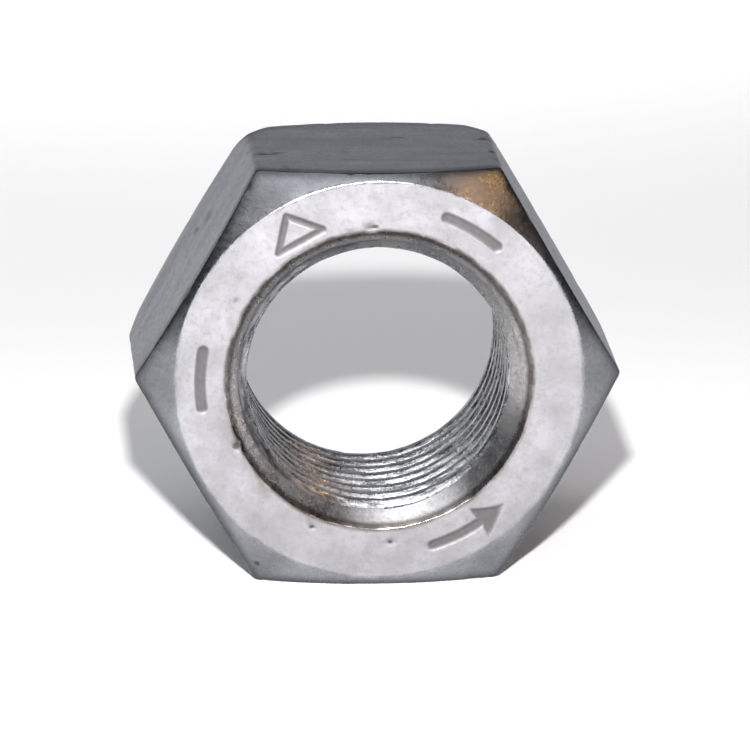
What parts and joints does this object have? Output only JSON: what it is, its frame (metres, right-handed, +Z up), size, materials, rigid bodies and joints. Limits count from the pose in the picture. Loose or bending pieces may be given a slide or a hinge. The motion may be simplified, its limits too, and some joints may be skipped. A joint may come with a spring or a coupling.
{
  "type": "hex nut",
  "caption": "Finished hex nut with a left-hand fine thread, chamfered on both sides, countersunk at both ends of the bore and stamped on one face.",
  "frame": {"origin": "on the thread axis, half way between the two faces, which is also the centre of the bounding box", "axes": "+Y along the thread axis from the marked face to the plain face, +X from corner to corner, +Z up through the top flat as the nut stands on its bottom flat"},
  "size_m": [0.0272, 0.0138, 0.0236],
  "materials": {
    "steel": "plain dull steel: matte on the stamped face, brighter on the turned chamfers and in the thread"
  },
  "bodies": {
    "root": {"hex_nut": "steel"}
  },
  "joints": []
}
